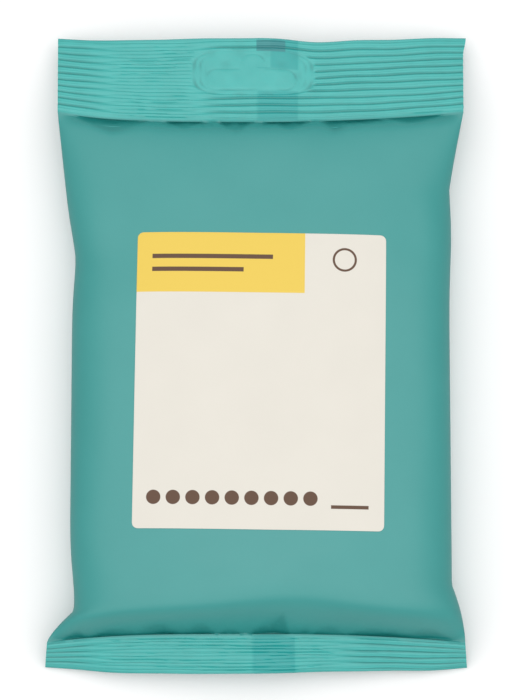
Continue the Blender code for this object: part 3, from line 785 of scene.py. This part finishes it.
def film_material(sizes):
    """Matt teal film: brighter where crimped, darker over the fin, with a printed mark.

    Rib valleys, puckers, creases, pockets and the cut edge get painted shade in the fold colour.
    """
    material, tree, shader = new_material("teal_film_matt")
    place = node(tree, "ShaderNodeAttribute", attribute_name="film_mm").outputs["Vector"]
    marks = node(tree, "ShaderNodeAttribute", attribute_name="film_marks").outputs["Vector"]
    across, along, front = node(tree, "ShaderNodeSeparateXYZ", {0: place}).outputs
    crimp, fin, valley = node(tree, "ShaderNodeSeparateXYZ", {0: marks}).outputs
    mark = mathed(tree, "MULTIPLY", within(tree, across, *REGISTER_MARK[:2], 0.15),
                  within(tree, along, *REGISTER_MARK[2:], 0.12))
    mark = mathed(tree, "MULTIPLY", mark, front)
    cloud = noise(tree, place, 0.045, 3.0, 0.6)
    patch = noise(tree, place, 0.16, 2.0)
    grain = noise(tree, place, 0.9, 4.0, 0.55)
    body = mixed(tree, cloud, tint(sizes.film, 0.96), tint(sizes.film, 1.04, 0.006))
    seal = mixed(tree, patch, tint(sizes.seal, 0.92), tint(sizes.seal, 1.08, 0.004))
    colour = mixed(tree, crimp, body, seal)
    # Fin band and mark are the film's own colours; the valley mask adds painted shade in the fold colour
    for mask, share, over in ((fin, 0.9, sizes.fin), (valley, 0.7, sizes.fold), (mark, 0.75, sizes.dark)):
        colour = mixed(tree, mathed(tree, "MULTIPLY", mask, share), colour, tint(over))
    tree.links.new(colour, shader.inputs["Base Color"])
    rough = node(tree, "ShaderNodeMapRange", {"Value": grain, "To Min": sizes.roughness - 0.05,
                                              "To Max": sizes.roughness + 0.08})
    tree.links.new(rough.outputs["Result"], shader.inputs["Roughness"])
    shader.inputs["IOR"].default_value = 1.5
    shader.inputs["Specular IOR Level"].default_value = 0.8
    roughen(tree, shader, grain, 0.12, 0.0002)
    return material


class PILLOW_OT_film(bpy.types.Operator):
    """Build the film bag with its crimped end seals, its fin and its slot pad"""
    bl_idname = "pillow.film"
    bl_label = "Film bag"

    def execute(self, context):
        sizes = context.scene.pillow_bag
        rings, place, marks = film_skin(sizes.slab, sizes.rib)
        inner = hollow_skin()
        first = rings.size // 3
        quads = np.concatenate([closed_faces(rings, 0)[:, ::-1], closed_faces(inner, first)])
        points = np.concatenate([rings.reshape(-1, 3), inner.reshape(-1, 3)]) + (*SHIFT, 0.0)
        film = build_mesh("film_bag_skin", points, quads, FILM_SHARP)
        blank = np.zeros((len(points) - first, 3))
        add_places(film, "film_mm", np.concatenate([place.reshape(-1, 3), blank]))
        add_places(film, "film_marks", np.concatenate([marks.reshape(-1, 3), blank]))
        film.data.materials.append(film_material(sizes))
        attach(film, "root")
        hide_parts("film_bag")
        return {"FINISHED"}


def front_height(x, y, slab):
    """The film's front height over places in the bag's own frame: rough c and t, refined in turn."""
    c = np.clip(x / ROUGH_HALF, -0.98, 0.98)
    t = np.clip((y + HALF_LENGTH - BOTTOM_SEAL["height"]) / BODY_LENGTH, 0.02, 0.98)
    for _ in range(12):
        front = body_surfaces(c, t, slab)[0]
        c = np.clip(c + (x - front[..., 0]) / FLAT_HALF, -0.985, 0.985)
        t = np.clip(t + (y - front[..., 1]) / BODY_LENGTH, 0.01, 0.99)
    return body_surfaces(c, t, slab)[0][..., 2]


def label_places(length, count):
    """Places along one side: even ones between the corners, and a cosine's round each corner."""
    corner = LABEL_CORNER * (1.0 - np.cos(np.linspace(0.0, math.pi / 2, CORNER_ROWS)))
    inner = np.linspace(LABEL_CORNER, length - LABEL_CORNER, count)
    return np.concatenate([corner[:-1], inner, length - corner[:-1][::-1]])


def label_material(sizes):
    """Uncoated cream paper with a printed yellow corner panel, and plain bars, a ring and dots on it."""
    material, tree, shader = new_material("label_paper_print")
    place = node(tree, "ShaderNodeAttribute", attribute_name="label_mm").outputs["Vector"]
    across, down, _ = node(tree, "ShaderNodeSeparateXYZ", {0: place}).outputs

    def patch(left, right, top, bottom):
        """1 inside a box of the label."""
        return mathed(tree, "MULTIPLY",
                      within(tree, across, (left + right) / 2, (right - left) / 2, PRINT_EDGE),
                      within(tree, down, (top + bottom) / 2, (bottom - top) / 2, PRINT_EDGE))

    def distance(x, y):
        """How far a place is from a point, by Pythagoras."""
        squares = mathed(tree, "ADD", mathed(tree, "MULTIPLY", x, x), mathed(tree, "MULTIPLY", y, y))
        return mathed(tree, "SQRT", squares)

    colour = mixed(tree, noise(tree, place, 0.06, 2.0), tint(sizes.paper, 0.95), tint(sizes.paper))
    colour = mixed(tree, patch(*LABEL_PANEL), colour, tint(sizes.panel))
    marks = patch(*LABEL_BARS[0])
    for box in LABEL_BARS[1:]:
        marks = mathed(tree, "MAXIMUM", marks, patch(*box))
    ring = distance(mathed(tree, "SUBTRACT", across, LABEL_RING[0]),
                    mathed(tree, "SUBTRACT", down, LABEL_RING[1]))
    marks = mathed(tree, "MAXIMUM", marks, within(tree, ring, *LABEL_RING[2:], PRINT_EDGE))
    step = mathed(tree, "DIVIDE", mathed(tree, "SUBTRACT", across, DOTS_BOX[0]), DOT_PITCH)
    step = mathed(tree, "SUBTRACT", mathed(tree, "FRACT", step), 0.5)
    dots = distance(mathed(tree, "MULTIPLY", step, DOT_PITCH), mathed(tree, "SUBTRACT", down, DOTS_LINE))
    dots = mathed(tree, "MULTIPLY", within(tree, dots, 0.0, DOT_RADIUS, PRINT_EDGE), patch(*DOTS_BOX))
    colour = mixed(tree, mathed(tree, "MAXIMUM", marks, dots), colour, tint(sizes.ink))
    tree.links.new(colour, shader.inputs["Base Color"])
    shader.inputs["Roughness"].default_value = 0.72
    shader.inputs["Specular IOR Level"].default_value = 0.3
    roughen(tree, shader, noise(tree, place, 1.6, 6.0, 0.7), 0.25, 0.00012)
    return material


class PILLOW_OT_label(bpy.types.Operator):
    """Build the paper label that follows the front film"""
    bl_idname = "pillow.label"
    bl_label = "Label"

    def execute(self, context):
        sizes = context.scene.pillow_label
        slab = context.scene.pillow_bag.slab
        across = label_places(LABEL_WIDTH, LABEL_COLUMNS)[None, :]
        down = label_places(LABEL_HEIGHT, LABEL_ROWS)[:, None]
        u, v = np.broadcast_arrays(across, down)
        near_u = np.minimum(u, LABEL_WIDTH - u)
        near_v = np.minimum(v, LABEL_HEIGHT - v)
        inside = LABEL_CORNER - near_v
        pull = np.where((near_v < LABEL_CORNER) & (near_u < LABEL_CORNER),
                        LABEL_CORNER - np.sqrt(np.maximum(LABEL_CORNER ** 2 - inside ** 2, 0.0)), 0.0)
        share = np.clip(1.0 - near_u / LABEL_CORNER, 0.0, 1.0)
        u = u + np.where(u < LABEL_WIDTH / 2, 1.0, -1.0) * pull * share
        flat_x, flat_y = u - LABEL_WIDTH / 2, LABEL_HEIGHT / 2 - v
        x = LABEL_CENTRE[0] + flat_x * math.cos(LABEL_TURN) - flat_y * math.sin(LABEL_TURN)
        y = LABEL_CENTRE[1] + flat_x * math.sin(LABEL_TURN) + flat_y * math.cos(LABEL_TURN)
        low = front_height(x, y, slab) + LABEL_GAP
        top = np.stack([x, y, low + sizes.thickness], axis=-1)
        under = np.stack([x, y, low], axis=-1)
        rings = np.concatenate([top, under[:, ::-1]], axis=1)
        points = rings.reshape(-1, 3) + (*SHIFT, 0.0)
        label = build_mesh("paper_label", points, closed_faces(rings, 0), LABEL_SHARP)
        place = np.stack([u, v, 0.0 * u], axis=-1) / MM
        add_places(label, "label_mm", np.concatenate([place, place[:, ::-1]], axis=1))
        label.data.materials.append(label_material(sizes))
        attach(label, "root")
        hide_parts("front_label")
        return {"FINISHED"}


def fruit_material(sizes):
    """Dried apricot flesh: orange to brown by a cloud, grained, waxy and a little soft."""
    material, tree, shader = new_material("dried_apricot_flesh")
    place = node(tree, "ShaderNodeTexCoord").outputs["Object"]
    brown = (sizes.flesh[0] * 0.45, sizes.flesh[1] * 0.35, sizes.flesh[2] * 0.4, 1.0)
    spread = node(tree, "ShaderNodeMapRange", {"Value": noise(tree, place, 90.0, 3.0), "From Min": 0.4,
                                               "From Max": 0.72})
    colour = mixed(tree, spread.outputs["Result"], tint(sizes.flesh), brown)
    tree.links.new(colour, shader.inputs["Base Color"])
    shader.inputs["Roughness"].default_value = 0.5
    shader.inputs["Subsurface Weight"].default_value = 0.15
    shader.inputs["Subsurface Scale"].default_value = 0.002
    roughen(tree, shader, noise(tree, place, 600.0, 5.0, 0.65), 0.4, 0.0003)
    return material


def fruit_axes(name):
    """Centre, axes and half sizes of a fruit's solid, from the spread of its points."""
    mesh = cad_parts[name].data
    points = np.empty(len(mesh.vertices) * 3, dtype=np.float32)
    mesh.vertices.foreach_get("co", points)
    points = np.unique(np.round(points.reshape(-1, 3).astype(float), 6), axis=0)
    low, high = points.min(axis=0), points.max(axis=0)
    centre = (low + high) / 2
    axes = np.linalg.svd(points - points.mean(axis=0), full_matrices=False)[2]
    if np.linalg.det(axes) < 0:
        axes[2] = -axes[2]
    spread = (points - centre) @ axes.T
    centre = centre + axes.T @ ((spread.min(axis=0) + spread.max(axis=0)) / 2)
    return centre, axes, np.ptp(spread, axis=0) / 2


def fruit_surface(axes, radii, draw, wrinkle):
    """A flattened ball: an ellipsoid, less a wavy rim, a dimple each side and wrinkles of summed sines."""
    around = np.linspace(0.0, 2.0 * math.pi, FRUIT_COLUMNS + 1)[:-1][None, :]
    up = np.linspace(-0.5 * math.pi, 0.5 * math.pi, FRUIT_ROWS)[:, None]
    phase = draw.uniform(0.0, 2.0 * math.pi, 8)
    rim = 0.955 + 0.035 * np.sin(3 * around + phase[0]) + 0.01 * np.sin(7 * around + phase[1])
    flat = np.cos(up)
    x = flat * np.cos(around) * rim
    y = flat * np.sin(around) * rim
    z = np.sin(up) * (1.0 - 0.38 * bell(flat, 0.4)) * np.ones_like(around)
    folds = np.sin(5 * around + 6 * flat + phase[2]) + np.sin(9 * around - 8 * flat + phase[3])
    folds = folds + 0.7 * np.sin(14 * around + 11 * flat * np.sin(around + phase[4]) + phase[5])
    depth = wrinkle * (np.abs(folds) / 2.0 - 1.0) * smooth(flat * 1.6)
    shape = np.stack([x * radii[0], y * radii[1], z * radii[2]], axis=-1)
    inward = shape / np.maximum(np.linalg.norm(shape, axis=-1, keepdims=True), 1e-9)
    shape = shape + inward * depth[..., None]
    shape[0] = shape[0].mean(axis=0)
    shape[-1] = shape[-1].mean(axis=0)
    return shape @ axes


class PILLOW_OT_fruit(bpy.types.Operator):
    """Build a wrinkled dried fruit over each solid inside the bag"""
    bl_idname = "pillow.fruit"
    bl_label = "Dried fruit"

    def execute(self, context):
        sizes = context.scene.pillow_fruit
        material = fruit_material(sizes)
        draw = np.random.default_rng(sizes.seed)
        for name in sorted(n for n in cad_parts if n.startswith("apricot_")):
            centre, axes, radii = fruit_axes(name)
            shape = fruit_surface(axes, radii, draw, sizes.wrinkle) + centre
            rows, columns = shape.shape[:2]
            inner = shape[1:-1].reshape(-1, 3)
            points = np.concatenate([inner, shape[0, :1], shape[-1, :1]])
            k = np.arange(columns)
            n = (k + 1) % columns
            last = (rows - 3) * columns
            # Both poles are closed by a fan of triangles
            south = np.stack([0 * k + len(inner), n, k], axis=-1)
            north = np.stack([0 * k + len(inner) + 1, last + k, last + n], axis=-1)
            fruit = build_mesh("dried_" + name, points, ring_faces(rows - 2, columns, 0),
                               triangles=np.concatenate([south, north]))
            fruit.data.materials.append(material)
            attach(fruit, "root")
            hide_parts(name)
        return {"FINISHED"}


def softbox(name, place, target, size, energy):
    """A rectangular lamp aimed at a point."""
    light = bpy.data.lights.new(name, "AREA")
    light.shape = "RECTANGLE"
    light.size, light.size_y = size
    light.energy = energy
    lamp = bpy.data.objects.new(name, light)
    offset = np.array(target) - np.array(place)
    across = math.hypot(offset[0], offset[1])
    lamp.rotation_euler = (math.atan2(across, -offset[2]), 0.0, math.atan2(-offset[0], offset[1]))
    lamp.location = place
    bpy.context.scene.collection.objects.link(lamp)


class PILLOW_OT_stage(bpy.types.Operator):
    """Set up the floor, the light and the camera"""
    bl_idname = "pillow.stage"
    bl_label = "Stage"

    def execute(self, context):
        sizes = context.scene.pillow_stage
        corners = np.array([(-1, -1, 0), (1, -1, 0), (1, 1, 0), (-1, 1, 0)]) * FLOOR_HALF
        floor = build_mesh("floor", corners, np.array([[0, 1, 2, 3]]))
        material, _, shader = new_material("floor_matt")
        shader.inputs["Base Color"].default_value = tint(sizes.floor)
        shader.inputs["Roughness"].default_value = 0.9
        floor.data.materials.append(material)
        # The bag's slopes mirror the surround, which is darker near the horizon, and not a white table
        floor.visible_glossy = False

        world = bpy.data.worlds.new("pale_surround")
        world.use_nodes = True
        tree = world.node_tree
        up = node(tree, "ShaderNodeSeparateXYZ", {0: node(tree, "ShaderNodeTexCoord").outputs["Generated"]})
        ramp = {"Value": up.outputs["Z"], "From Min": 0.40, "From Max": 0.85, "To Min": sizes.horizon,
                "To Max": sizes.zenith}
        glow = node(tree, "ShaderNodeMapRange", ramp, interpolation_type="SMOOTHSTEP")
        front = mathed(tree, "MAXIMUM", mathed(tree, "MULTIPLY", up.outputs["Y"], -sizes.front), 0.0)
        glow = mathed(tree, "ADD", glow.outputs["Result"], front)
        tree.links.new(glow, tree.nodes["Background"].inputs["Strength"])
        tree.nodes["Background"].inputs["Color"].default_value = (1.0, 1.0, 1.0, 1.0)
        context.scene.world = world
        for name, side in (("softbox_left", -1), ("softbox_right", 1)):
            place = (side * SIDE_LAMP[0], *SIDE_LAMP[1:])
            softbox(name, place, (0.0, 0.0, 0.0), SIDE_LAMP_SIZE, sizes.side_power)
        softbox("softbox_over", OVER_LAMP, (*OVER_LAMP[:2], 0.0), OVER_LAMP_SIZE, sizes.over_power)

        camera = bpy.data.cameras.new("camera")
        camera.sensor_fit = "VERTICAL"
        camera.sensor_height = SENSOR_MM
        camera.lens = LENS_MM
        eye = bpy.data.objects.new("camera", camera)
        eye.location = (CAMERA_AIM[0], CAMERA_AIM[1] - sizes.distance * math.sin(sizes.tilt),
                        CAMERA_AIM[2] + sizes.distance * math.cos(sizes.tilt))
        eye.rotation_euler = (sizes.tilt, 0.0, 0.0)
        context.scene.collection.objects.link(eye)
        context.scene.camera = eye
        context.scene.view_settings.view_transform = "Standard"
        context.scene.view_settings.look = "None"
        return {"FINISHED"}


class PILLOW_PT_sidebar(bpy.types.Panel):
    """The bag's sizes, colours and build steps."""
    bl_idname = "PILLOW_PT_sidebar"
    bl_label = "Pillow bag"
    bl_space_type = "VIEW_3D"
    bl_region_type = "UI"
    bl_category = "Pillow bag"

    def draw(self, context):
        for group, _, operator in GROUPS:
            box = self.layout.box()
            sizes = getattr(context.scene, group)
            for name in sizes.__annotations__:
                box.prop(sizes, name)
            box.operator(operator.bl_idname)


GROUPS = (("pillow_bag", BagSizes, PILLOW_OT_film), ("pillow_label", LabelSizes, PILLOW_OT_label),
          ("pillow_fruit", FruitSizes, PILLOW_OT_fruit), ("pillow_stage", StageSizes, PILLOW_OT_stage))
CLASSES = (*[kind for _, *kinds in GROUPS for kind in kinds], PILLOW_PT_sidebar)


def register():
    """Register the classes and hang the settings on the scene."""
    for kind in CLASSES:
        bpy.utils.register_class(kind)
    for group, sizes, _ in GROUPS:
        setattr(bpy.types.Scene, group, PointerProperty(type=sizes))


def unregister():
    """Take the settings and the classes away again."""
    for group, _, _ in GROUPS:
        delattr(bpy.types.Scene, group)
    for kind in reversed(CLASSES):
        bpy.utils.unregister_class(kind)


def main():
    """Register the add-on and build everything."""
    register()
    for _, _, operator in GROUPS:
        area, name = operator.bl_idname.split(".")
        getattr(getattr(bpy.ops, area), name)()


if __name__ == "__main__":
    main()
